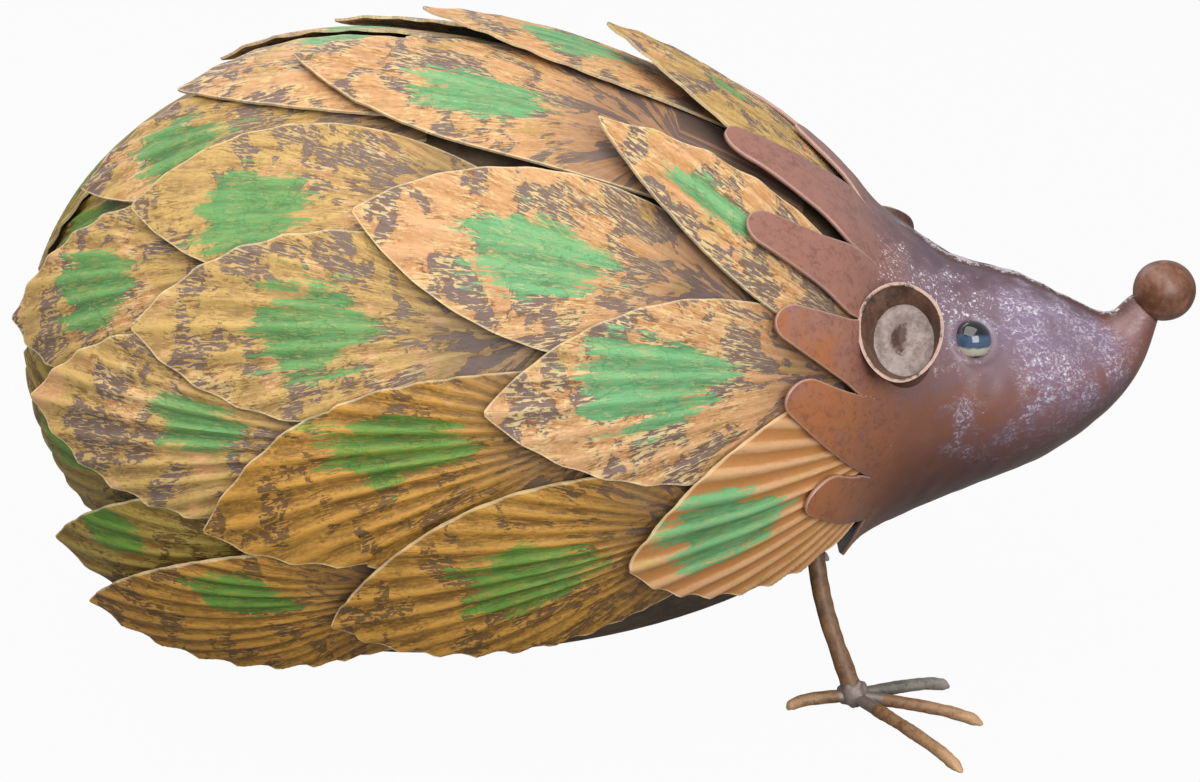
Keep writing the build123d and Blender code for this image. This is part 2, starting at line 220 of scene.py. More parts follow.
class Value:
    """A shader output that Python arithmetic turns into Math nodes."""

    def __init__(self, nodes: Nodes, socket: bpy.types.NodeSocket) -> None:
        """Keep the node tree's wrapper and the socket."""
        self.nodes = nodes
        self.socket = socket

    def _math(self, operation: str, first: Value | float, second: Value | float) -> Value:
        """A Math node of two values."""
        return self.nodes.node("ShaderNodeMath", {"operation": operation}, {0: first, 1: second})

    def __add__(self, other: Value | float) -> Value:
        """Sum."""
        return self._math("ADD", self, other)

    __radd__ = __add__

    def __sub__(self, other: Value | float) -> Value:
        """Difference."""
        return self._math("SUBTRACT", self, other)

    def __rsub__(self, other: Value | float) -> Value:
        """Difference from a number."""
        return self._math("SUBTRACT", other, self)

    def __mul__(self, other: Value | float) -> Value:
        """Product."""
        return self._math("MULTIPLY", self, other)

    __rmul__ = __mul__

    def sway(self, share: float) -> Value:
        """A noise of 0 to 1 made to swing about zero, by a share."""
        return (self - 0.5) * share

    def between(self, low: float, high: float) -> Value:
        """Smooth step from 0 at low to 1 at high, or falling where high is the lesser."""
        ends = {"Value": self, "From Min": min(low, high), "From Max": max(low, high)}
        ends |= {"To Min": 0.0, "To Max": 1.0} if low < high else {"To Min": 1.0, "To Max": 0.0}
        return self.nodes.node("ShaderNodeMapRange", {"interpolation_type": "SMOOTHSTEP"}, ends)

    def mix(self, off: Value | str, on: Value | str) -> Value:
        """Colour that goes from off to on as this value goes from 0 to 1."""
        settings = {"data_type": "RGBA", "clamp_factor": True}
        return self.nodes.node("ShaderNodeMix", settings, {0: self, 6: off, 7: on}, output=2)


class Nodes:
    """A node tree under construction."""

    def __init__(self, tree: bpy.types.NodeTree) -> None:
        """Keep the tree."""
        self.tree = tree

    def node(self, kind: str, settings: dict, inputs: dict, output: int | str = 0) -> Value:
        """Any node: its settings are set first, then its sockets get values or links.

        Args:
            kind: The node's type name.
            settings: Attributes of the node.
            inputs: Values or links by socket name or number.
            output: Number or name of the output wanted.

        Returns:
            That output.
        """
        made = self.tree.nodes.new(kind)
        for key, value in settings.items():
            setattr(made, key, value)
        for key, value in inputs.items():
            self.feed(made.inputs[key], value)
        return Value(self, made.outputs[output])

    def feed(self, socket: bpy.types.NodeSocket, value: Value | float | tuple | str) -> None:
        """Link a value to a socket, or set the socket's own number, vector or colour code."""
        if isinstance(value, Value):
            self.tree.links.new(value.socket, socket)
        else:
            socket.default_value = colour(value) if isinstance(value, str) else value

    def ray(self, kind: str) -> Value:
        """1 for rays of a kind, such as Camera, and 0 for others."""
        return self.node("ShaderNodeLightPath", {}, {}, f"Is {kind} Ray")


class Shade(Nodes):
    """A material under construction, with its Principled shader."""

    def __init__(self, name: str) -> None:
        """Make the material with its two standing nodes."""
        self.material = bpy.data.materials.new(name)
        self.material.use_nodes = True
        super().__init__(self.material.node_tree)
        self.shader = self.tree.nodes["Principled BSDF"]

    def mark(self, name: str) -> Value:
        """A mark that the piece's points carry."""
        return self.node("ShaderNodeAttribute", {"attribute_name": name}, {}, output=2)

    def place(self) -> Value:
        """Object coordinates, in metres."""
        return self.node("ShaderNodeTexCoord", {}, {}, output=3)

    def vector(self, x: Value | float, y: Value | float, z: Value | float) -> Value:
        """Three values as one vector."""
        return self.node("ShaderNodeCombineXYZ", {}, {0: x, 1: y, 2: z})

    def noise(self, at: Value, scale: float, detail: float = 4, rough: float = 0.6, twist: float = 0) -> Value:
        """Noise from 0 to 1, with features of about one over the scale."""
        inputs = {"Vector": at, "Scale": scale, "Detail": detail, "Roughness": rough, "Distortion": twist}
        return self.node("ShaderNodeTexNoise", {}, inputs)

    def bump(self, height: Value, depth: float, strength: float = 1) -> Value:
        """Normal of a surface raised by a height from 0 to 1, times a depth in metres."""
        return self.node("ShaderNodeBump", {}, {"Height": height, "Distance": depth, "Strength": strength})

    def finish(self, **inputs: Value | float | tuple) -> bpy.types.Material:
        """Feed the Principled shader, with spaces for the underscores of its names."""
        for key, value in inputs.items():
            self.feed(self.shader.inputs[key.replace("_", " ")], value)
        return self.material


@dataclass(frozen=True)
class LeafPaint:
    """Dry-brushed paint of the plates: gold or peach over bare mauve metal, a green fan, painted shade over bare metal
    near the stem and a thin worn rim with a painted highlight.
    """

    deep: str = "#43362f"
    root: str = "#705f57"
    bark: str = "#76531f"
    umber: str = "#987848"
    olive: str = "#ac9648"
    amber: str = "#c8943f"
    gold: str = "#d0ac66"
    clay: str = "#b88450"
    peach: str = "#d6a576"
    straw: str = "#e2c68a"
    cream: str = "#f0deb2"
    rust: str = "#b4773c"
    metal: str = "#5d4424"
    mauve: str = "#6c5d5c"
    grass: str = "#3a6121"
    lawn: str = "#619034"
    moss: str = "#478250"
    mint: str = "#6fb276"

    def material(self) -> bpy.types.Material:
        """The paint, brushed along the flutes by the marks fan and reach of each plate."""
        s = Shade("leaf_paint")
        fan, reach, edge, ridge = s.mark("fan"), s.mark("reach"), s.mark("edge"), s.mark("ridge")
        tone, seed, patch, wear = s.mark("tone"), s.mark("seed"), s.mark("patch"), s.mark("wear")
        place = s.place()
        streak = s.noise(s.vector(fan * 1.5, reach * 0.3, seed * 9.0), 1.0, 6, 0.7)
        hair = s.noise(s.vector(fan * 6.0, reach * 1.3, seed * 5.0), 1.0, 6, 0.75, 0.3)
        tick = s.noise(s.vector(fan * 8.0, reach * 2.4, seed * 3.0), 1.0, 2, 0.55, 1.0)
        chip = s.noise(s.vector(fan * 0.5, reach * 0.8, seed * 7.0), 1.0, 6, 0.6, 0.5)
        wash = s.noise(s.vector(fan * 0.4, reach * 0.6, seed * 4.0 + 5.0), 1.0, 4, 0.6, 0.4)
        blot = s.noise(place, 70, 8, 0.66, 0.6)
        speck = s.noise(place, 620, 4, 0.75, 0.3)
        stem = reach.between(4.4, 1.8)
        open_part = 1 - stem
        valley = ridge.between(0.2, -0.4)
        lit = (streak + hair.sway(0.7) + speck.sway(0.4) + ridge * 0.2).between(0.22, 0.74)
        warm = (tone + wash.sway(1.6) + blot.sway(0.5)).between(0.55, 0.75)
        gold = tone.between(0.1, 0.25).mix(self.olive, self.amber)
        gold = tone.between(0.28, 0.45).mix(gold, self.gold)
        shadow = tone.between(0.25, 0.45).mix(self.bark, self.umber)
        coat = warm.mix(lit.mix(shadow, gold), lit.mix(self.clay, self.peach))
        coat = ((1 - wear) * valley * 0.85).mix(coat, self.rust)
        worn = chip + speck.sway(0.08) + hair.sway(0.12) + wear * 0.3 - 0.3 - tone.between(0.5, 0.2) * 0.025
        bare = worn.between(0.505, 0.53)
        coat = (bare * 0.9).mix(coat, tone.between(0.2, 0.45).mix(self.metal, self.mauve))
        stroke = (tick + speck.sway(0.3) + blot.sway(0.3)).between(0.52, 0.58)
        dry = stroke * (worn.between(0.36, 0.52) * 0.6 + 0.2) * wear * open_part
        coat = dry.mix(coat, warm.mix(gold, self.straw))
        nick = (tick + speck.sway(0.3)).between(0.42, 0.36) * worn.between(0.34, 0.48) * wear * open_part
        coat = (nick * 0.7).mix(coat, self.bark)
        # painted shade with bare metal: the stem, which lies under the plate above it, darkens towards deep and root
        coat = (stem * 0.5).mix(coat, wash.between(0.35, 0.65).mix(self.deep, self.root))
        leafy = (1 - patch) + streak.sway(2.4) + hair.sway(0.8) + chip.sway(1.2)
        thick = (streak * 0.6 + hair * 0.4 + ridge * 0.12).between(0.34, 0.6)
        fresh = tone.between(0.2, 0.8)
        dark_green = fresh.mix(self.grass, self.moss)
        light_green = fresh.mix(self.lawn, self.mint)
        cover = leafy.between(0.08, 0.22) * (0.95 - stroke * 0.2)
        coat = cover.mix(coat, thick.mix(dark_green, light_green))
        # worn paint and painted highlight: a thin cream line along the plate's edge
        rim = (edge + speck.sway(0.9)).between(0.7, 0.2)
        coat = (rim * 0.5).mix(coat, self.cream)
        relief = speck * 0.2 + hair * 0.2 + blot * 0.35 + (dry - bare) * 0.35
        return s.finish(
            Base_Color=coat,
            Roughness=0.62 - lit * 0.12 + speck.sway(0.2),
            Normal=s.bump(relief, 0.0006, 0.65),
            Specular_IOR_Level=0.42,
        )


@dataclass(frozen=True)
class HeadPaint:
    """Brown lacquer, red-brown and deepened by painted shade below, with painted reflections of the sky: plum and lilac
    on top, lavender along the snout; scuffed to silver along the snout and at the weld.
    """

    deep: str = "#4a2518"
    brown: str = "#80523f"
    rust: str = "#ad6b3e"
    blush: str = "#a07162"
    plum: str = "#4d3640"
    lilac: str = "#73626c"
    sheen_lavender: str = "#877694"
    hem: str = "#c09c8c"
    silver: str = "#f0eaf1"

    def material(self) -> bpy.types.Material:
        """The lacquer, by the marks front, low, seam, tongue and edge of the head."""
        s = Shade("head_paint")
        front, low, seam = s.mark("front"), s.mark("low"), s.mark("seam")
        tongue, edge = s.mark("tongue"), s.mark("edge")
        place = s.place()
        cloud = s.noise(place, 30, 4, 0.6)
        blot = s.noise(place, 90, 7, 0.7, 0.3)
        speck = s.noise(place, 1000, 4, 0.7, 0.6)
        along = s.node("ShaderNodeVectorMath", {"operation": "MULTIPLY"}, {0: place, 1: (0.22, 1, 1)})
        scuff = s.noise(along, 400, 5, 0.7, 0.8)
        down = low + cloud.sway(0.4) + blot.sway(0.25)
        # darker towards the bottom: red-brown lacquer deepened by painted shade
        coat = down.between(0.42, 0.72).mix(self.brown, self.deep)
        # painted reflection of the sky: lilac on the upper sides and plum along the top
        coat = (down.between(0.48, 0.3) * tongue.between(0.15, -0.25) * 0.85).mix(coat, self.lilac)
        coat = (down.between(0.2, 0.06) * tongue.between(0.3, -0.1) * 0.8).mix(coat, self.plum)
        flush = (tongue + cloud.sway(0.5) + blot.sway(0.5)).between(-0.4, 0.45)
        ruddy = (low + blot.sway(0.8)).between(0.3, 0.55).mix(self.blush, self.rust)
        coat = (flush * 0.85).mix(coat, ruddy)
        brush = (scuff + speck.sway(0.6) + blot.sway(0.5)).between(0.55, 0.3) * tongue.between(-0.3, 0.0)
        coat = (brush * 0.38).mix(coat, self.deep)
        side = down.between(0.78, 0.5) * down.between(0.06, 0.2)
        # painted sheen: a lavender band along the sides of the snout
        sheen_band = (front * 0.9 + cloud.sway(1.6) + blot.sway(0.9)).between(0.15, 0.85) * side
        coat = (sheen_band * 0.75).mix(coat, self.sheen_lavender)
        scratch = scuff.between(0.44, 0.5) * scuff.between(0.56, 0.5) * speck.between(0.42, 0.56)
        groove = scuff.between(0.4, 0.3) * front.between(0.0, 0.6)
        coat = (groove * 0.4).mix(coat, self.deep)
        area = (front * 1.1 + blot.sway(2.4) + cloud.sway(1.6)).between(0.3, 1.0) * side
        chalk = area * (scratch * 0.9 + (speck + blot.sway(0.4)).between(0.58, 0.68) * 0.6)
        # silver flecks: worn lacquer, with painted glints added on the crown
        crown = down.between(0.08, 0.17) * down.between(0.4, 0.26) * front.between(0.6, 0.3)
        speck_and_glint = speck + crown * 0.12 + blot.sway(0.2)
        flake_and_glint = (chalk + speck_and_glint.between(0.68, 0.74)) * tongue.between(0.05, -0.02)
        coat = (flake_and_glint * 0.75).mix(coat, self.silver)
        neck = (front + blot.sway(0.3)).between(0.77, 0.88)
        coat = (neck * 0.75).mix(coat, self.brown)
        top = front.between(0.05, 0.2) * tongue.between(0.1, -0.02)
        burn = (seam + blot.sway(8.0)).between(6.0, 2.5) * top
        coat = (burn * 0.8).mix(coat, self.deep)
        weld = (seam + blot.sway(12.0) + speck.sway(10.0)).between(1.6, 0.3) * top
        coat = (weld * 0.65).mix(coat, self.silver)
        # painted highlight: a pale line along the edges of the tongues
        rim = (edge + speck.sway(0.8)).between(0.5, 0.12)
        coat = (rim * 0.65).mix(coat, self.hem)
        relief = blot * 0.45 + speck * 0.2 + (flake_and_glint + weld) * 0.35
        return s.finish(
            Base_Color=coat,
            Roughness=0.36 + flake_and_glint * 0.2 + weld * 0.15 + blot.sway(0.25),
            Metallic=weld * 0.4 + flake_and_glint * 0.15,
            Normal=s.bump(relief, 0.0005, 0.6),
            Coat_Weight=0.3,
            Coat_Roughness=0.22,
        )


@dataclass(frozen=True)
class RodPaint:
    """Rusty brown wire: darker in the pits, worn tan on the tips and grey at the welds, bare metal with a painted
    highlight.
    """

    deep: str = "#3f281c"
    brown: str = "#83603f"
    tan: str = "#c79f76"
    grey: str = "#877f7d"

    def material(self, name: str) -> bpy.types.Material:
        """The paint, by the marks tip and weld of each rod."""
        s = Shade(name)
        tip, weld = s.mark("tip"), s.mark("weld")
        place = s.place()
        blot = s.noise(place, 180, 6, 0.7, 0.3)
        speck = s.noise(place, 900, 4, 0.7)
        coat = (blot + speck.sway(0.3) + tip * 0.2).between(0.2, 0.66).mix(self.deep, self.brown)
        worn = (tip * 0.55 + blot.sway(0.4) + speck.sway(0.4)).between(0.05, 0.6)
        coat = (worn * 0.8).mix(coat, self.tan)
        # grey at the welds: bare weld metal, also a painted highlight on the ankle's lump
        bare = (weld + blot.sway(1.0)).between(0.4, 0.8)
        coat = (bare * 0.75).mix(coat, self.grey)
        return s.finish(
            Base_Color=coat,
            Roughness=0.5 + speck.sway(0.3),
            Metallic=bare * 0.5,
            Normal=s.bump(blot * 0.6 + speck * 0.4, 0.0006, 0.7),
            Coat_Weight=0.1,
        )


@dataclass(frozen=True)
class PlainCoat:
    """A mottled coat with a second colour where the mark worn is high: worn paint, and on the nose's top painted light.
    """

    name: str
    low: str
    high: str
    worn: str
    rough: float
    grain: float = 160
    depth: float = 0.0004

    def material(self) -> bpy.types.Material:
        """Two tones mottled at the grain's scale, chipped to the worn colour."""
        s = Shade(self.name)
        worn = s.mark("worn")
        place = s.place()
        blot = s.noise(place, self.grain, 6, 0.68, 0.3)
        speck = s.noise(place, self.grain * 5, 4, 0.7)
        coat = (blot + speck.sway(0.4)).between(0.3, 0.7).mix(self.low, self.high)
        wear_and_light = (worn + blot.sway(0.9) + speck.sway(0.8)).between(0.55, 0.85)
        coat = wear_and_light.mix(coat, self.worn)
        return s.finish(
            Base_Color=coat,
            Roughness=self.rough + speck.sway(0.2),
            Normal=s.bump(blot * 0.6 + speck * 0.4, self.depth, 0.6),
        )


@dataclass(frozen=True)
class EyeGlass:
    """Blue-black glass bead, with fine swirls in the dark."""

    dark: str = "#0d1118"
    sky_reflection: str = "#40546f"
    ground_reflection: str = "#c3bda8"

    def material(self) -> bpy.types.Material:
        """Dark glass under a clear gloss, with a painted reflection of a bluish sky above and of a light ground below,
        by the mark high.
        """
        s = Shade("eye_glass")
        high = s.mark("high")
        swirl = s.noise(s.place(), 240, 3, 0.5, 1.2)
        smear = s.noise(s.place(), 700, 3, 0.6)
        bent = high + swirl.sway(0.3)
        # painted reflection: sky above, light ground below, dark again at the very bottom
        glass = bent.between(0.6, 0.35).mix(self.dark, self.sky_reflection)
        glass = bent.between(-0.05, -0.2).mix(glass, self.ground_reflection)
        return s.finish(
            Base_Color=bent.between(-0.45, -0.65).mix(glass, self.dark),
            Roughness=0.05 + smear.between(0.5, 0.8) * 0.08,
            Coat_Weight=1.0,
            Coat_Roughness=0.02,
        )


@dataclass(frozen=True)
class BodyForm:
    """The egg that the plates and the head lie over, about an axis that dips towards the nose."""

    centre: tuple[float, float, float] = (-0.06171, 0.0, 0.0885)
    radius: float = 0.0925
    rear_reach: float = 0.104
    front_reach: float = 0.163
    dip: float = math.radians(1)

    @property
    def forward(self) -> Array:
        """Direction of the axis."""
        return np.array([math.cos(self.dip), 0, -math.sin(self.dip)])

    @property
    def upward(self) -> Array:
        """Direction square to the axis, up."""
        return np.array([math.sin(self.dip), 0, math.cos(self.dip)])

    def out(self, around: Array) -> Array:
        """Direction away from the axis at an angle from the top towards the right side."""
        return np.cos(around)[..., None] * self.upward + np.sin(around)[..., None] * np.array([0, -1, 0])

    def reach(self, along: Array) -> Array:
        """Half length of the egg on the side of an angle along it."""
        return np.where(along < 0, self.rear_reach, self.front_reach)

    def station(self, along: Array, height: Array) -> tuple[Array, Array]:
        """Reach along the axis and radius of a place at a height over the egg."""
        return (self.reach(along) + height) * np.sin(along), (self.radius + height) * np.cos(along)

    def at(self, along: Array, around: Array, height: Array) -> Array:
        """Place in space: the egg's half axes, grown by the height, times sine and cosine of the angle along it."""
        run, radius = self.station(along, height)
        return np.array(self.centre) + run[..., None] * self.forward + radius[..., None] * self.out(around)


class Tone(Enum):
    """Which paint shows most on a plate."""

    PEACH = 0.85
    GOLD = 0.5
    AMBER = 0.25
    OLIVE = 0.1


class Flute(Enum):
    """How strongly a plate is fluted, as a share of the full depth."""

    DEEP = 1.0
    PLAIN = 0.75
    FAINT = 0.4


@dataclass(frozen=True)
class Leaf:
    """One plate: its tip and its stem in degrees along and around the body, and its share of width and lift."""

    name: str
    tip: tuple[float, float]
    stem: tuple[float, float]
    width_share: float
    lift_share: float
    tone: Tone
    flute: Flute
    patch: tuple[float, float] = (0.046, 0.0)
    patch_size: tuple[float, float] = (0.019, 2.4)
    stem_share: float = 1.0
    wear: float = 1.0

    def flipped(self) -> Leaf:
        """The same plate on the other side."""
        tip, stem, patch = ((pair[0], -pair[1]) for pair in (self.tip, self.stem, self.patch))
        return replace(self, tip=tip, stem=stem, patch=patch)


SIDE_LEAVES = (
    Leaf(
        "collar_low", (25, 107.5), (60, 104), 1.25, 1.10, Tone.PEACH, Flute.DEEP, (0.029, -0.003), (0.019, 1.9),
        stem_share=1.6, wear=0.1,
    ),
    Leaf("collar_mid", (12, 79.7), (53, 74), 1.00, 0.90, Tone.PEACH, Flute.PLAIN, (0.047, -0.005), (0.021, 2.6), 1.3),
    Leaf("collar_high", (20.3, 30), (57, 58), 0.68, 1.08, Tone.PEACH, Flute.PLAIN, (0.037, 0.001), (0.019, 1.0)),
    Leaf("shoulder_low", (-2.5, 115), (43, 103), 1.20, 1.10, Tone.AMBER, Flute.DEEP, (0.057, -0.002), (0.021, 2.6)),
    Leaf("shoulder_mid", (-18, 99.5), (32, 80.5), 1.00, 1.07, Tone.AMBER, Flute.DEEP, (0.057, -0.009), (0.019, 2.4)),
    Leaf("shoulder_high", (0, 51), (41, 60), 1.00, 0.90, Tone.PEACH, Flute.FAINT, (0.051, 0.001), (0.022, 2.3)),
    Leaf("shoulder_top", (-13, 16.5), (46, 30), 1.00, 0.53, Tone.PEACH, Flute.FAINT, (0.055, 0.005), (0.020, 2.2), 1.4),
    Leaf("flank_low", (-39, 127), (20, 109), 1.06, 1.30, Tone.AMBER, Flute.DEEP, (0.058, -0.012), (0.015, 2.2)),
    Leaf("flank_mid", (-28.5, 69), (23, 67), 1.02, 1.00, Tone.GOLD, Flute.PLAIN, (0.050, -0.001), (0.019, 2.6)),
    Leaf("flank_high", (-33, 47), (14, 48), 1.00, 0.80, Tone.GOLD, Flute.FAINT, (0.037, 0.003), (0.017, 2.4)),
    Leaf("flank_top", (-32, 16), (22, 17), 0.92, 0.57, Tone.PEACH, Flute.FAINT, (0.047, -0.017), (0.014, 1.6)),
    Leaf("rump_low", (-47, 119), (3, 104), 1.00, 1.27, Tone.OLIVE, Flute.PLAIN, (0.029, -0.013), (0.012, 1.6)),
    Leaf("rump_mid", (-46.5, 83), (12, 86), 1.04, 1.10, Tone.GOLD, Flute.DEEP, (0.055, -0.001), (0.014, 1.9)),
    Leaf("rump_high", (-60, 66), (-13, 58), 1.00, 1.10, Tone.GOLD, Flute.PLAIN, (0.040, -0.003), (0.015, 2.3)),
    Leaf("rump_top", (-47, 35), (5, 27), 0.96, 0.67, Tone.GOLD, Flute.PLAIN, (0.034, 0.001), (0.016, 1.8)),
    Leaf("tail_low", (-74, 150), (-22, 150), 1.18, 0.38, Tone.OLIVE, Flute.PLAIN),
    Leaf("tail_mid", (-78, 100), (-27, 98), 1.25, 0.65, Tone.OLIVE, Flute.PLAIN),
    Leaf("tail_high", (-76, 46), (-27, 42), 1.15, 0.42, Tone.OLIVE, Flute.PLAIN),
)
MIDDLE_LEAVES = (
    Leaf("crown_plate", (19.5, -1), (56, 9), 1.05, 1.38, Tone.GOLD, Flute.FAINT, (0.04, 0), (0.006, 0.6), 1.6),
    Leaf("ridge_plate", (2, 0), (46, 0), 0.92, 0.90, Tone.PEACH, Flute.FAINT),
    Leaf("tail_plate", (-82, 0), (-16, 0), 1.10, 0.50, Tone.OLIVE, Flute.PLAIN),
)


@dataclass
class LeafCoat:
    """All the plates: thin fluted blades that overlap like scales."""

    body: BodyForm
    width: float = 0.050
    shoulder: float = 0.057
    stem_half: float = 0.010
    thickness: float = 0.0008
    seat_gap: float = 0.0003
    lift: float = 0.0003
    fan_reach: float = 0.112
    flute_pitch: float = math.radians(4.7)
    flute_depth: float = 0.0008
    flute_level: float = 0.3
    fine_share: float = 0.18
    deep_root: tuple[float, float] = (0.012, 0.055)
    plain_root: tuple[float, float] = (0.03, 0.08)
    least_reach: float = 0.002
    scallop: float = 0.0003
    scallop_fade: float = 0.012
    dent_depth: float = 0.0005
    dent_size: float = 0.03
    sway_size: float = 0.05
    tip_cut: float = 0.0006
    steps: int = 90
    rows: int = 64
    columns: int = 85
    crowding: float = 1.25

    def height(self, leaf: Leaf, along: Array) -> Array:
        """Height of the underside: it rises evenly, by the degree, from the stem to the tip."""
        return self.seat_gap + np.maximum(0, leaf.stem[0] - np.degrees(along)) * self.lift * leaf.lift_share

    def half_width(self, leaf: Leaf, distance: Array, length: float) -> Array:
        """Half width at a distance from the tip: an arc as far as the shoulder, then a taper to the stem."""
        half = self.width * leaf.width_share / 2
        bow = (self.shoulder**2 + half**2) / (2 * half)
        back = np.clip(self.shoulder - distance, 0, None)
        beyond = np.clip((distance - self.shoulder) / (length - self.shoulder), 0, None)
        return np.sqrt(bow**2 - back**2) - bow + half - (half - self.stem_half * leaf.stem_share) * beyond**1.7

    def spots(self, leaf: Leaf, share: Array, aside: Array) -> tuple[Array, Array]:
        """Angles along and around of spots at a share from stem to tip and a distance to the side."""
        (tip_along, tip_around), (stem_along, stem_around) = np.radians(leaf.tip), np.radians(leaf.stem)
        along = stem_along + (tip_along - stem_along) * share
        around = stem_around + (tip_around - stem_around) * share
        height = self.height(leaf, along)
        reach = self.body.reach(along) + height
        radius = self.body.radius + height
        along_step = np.hypot(reach * np.cos(along), radius * np.sin(along))
        around_step = radius * np.cos(along)
        run = (tip_along - stem_along) * along_step
        drift = (tip_around - stem_around) * around_step
        length = np.hypot(run, drift)
        return along + aside * drift / length / along_step, around - aside * run / length / around_step

    def build(self, leaf: Leaf, name: str, seed: int) -> bpy.types.Object:
        """One plate: a blade over the body whose flutes are a cosine of the angle about a point near its stem.

        Args:
            leaf: Where the plate lies and its paint.
            name: Name of the piece.
            seed: Number that varies its dents and brush marks.

        Returns:
            The plate.
        """
        shares = np.linspace(0, 1, self.steps)
        along, around = self.spots(leaf, shares, np.zeros_like(shares))
        middle = self.body.at(along, around, self.height(leaf, along))
        steps = np.linalg.norm(np.diff(middle, axis=0), axis=1)
        left = np.append(np.cumsum(steps[::-1])[::-1], 0)
        rows = 1 - np.linspace(1, 0, self.rows) ** self.crowding
        distance = (left[0] + (self.tip_cut - left[0]) * rows)[:, None]
        share = np.interp(distance, left[::-1], shares[::-1])
        half = self.half_width(leaf, distance, left[0])
        across = np.linspace(-1, 1, self.columns)[None, :]
        reach = np.maximum(self.fan_reach - distance, self.least_reach)
        root = self.deep_root if leaf.flute is Flute.DEEP else self.plain_root
        strength = ease(reach, *root) * leaf.flute.value
        wave = np.cos(2 * math.pi * np.arctan2(half, reach) / self.flute_pitch)
        half = half + self.scallop * wave * strength * ease(distance, 0, self.scallop_fade)
        aside = across * half
        turn = np.arctan2(aside, reach) / self.flute_pitch
        ridge = (1 - self.fine_share) * np.cos(2 * math.pi * turn) + self.fine_share * np.cos(4 * math.pi * turn)
        along, around = self.spots(leaf, share, aside)
        low = self.height(leaf, along)
        flat = self.body.at(along, around, low)
        dent = ripple(flat, self.dent_size, seed) * self.dent_depth * strength
        uneven = 0.8 + 0.4 * ripple(flat, self.sway_size, seed + 1)
        low = low + self.flute_depth * (ridge - self.flute_level) * strength * uneven + dent
        low = np.maximum(low, 0)
        patch_reach = self.fan_reach - leaf.patch[0]
        patch_turn = math.atan2(leaf.patch[1], patch_reach) / self.flute_pitch
        patch = np.hypot((reach - patch_reach) / leaf.patch_size[0], (turn - patch_turn) / leaf.patch_size[1])
        form = Form()
        form.sheet(
            self.body.at(along, around, low + self.thickness),
            self.body.at(along, around, low),
            fan=turn,
            reach=reach * CM,
            edge=(1 - np.abs(across)) * half * MM,
            ridge=ridge * leaf.flute.value,
            tone=leaf.tone.value,
            seed=seed * 0.37,
            patch=patch,
            wear=leaf.wear,
        )
        return form.piece(name)

    def named(self) -> list[tuple[str, Leaf]]:
        """Node names with their plates, on both sides and along the middle."""
        rows = [("right_" + leaf.name, leaf) for leaf in SIDE_LEAVES]
        rows += [("left_" + leaf.name, leaf.flipped()) for leaf in SIDE_LEAVES]
        return rows + [(leaf.name, leaf) for leaf in MIDDLE_LEAVES]

    def dress(self) -> None:
        """Make every plate, paint it and set it in place of its node."""
        paint = LeafPaint().material()
        for seed, (node, leaf) in enumerate(self.named()):
            made = self.build(leaf, node + "_fluted", seed * 10 + 3)
            settle(made, node, paint)


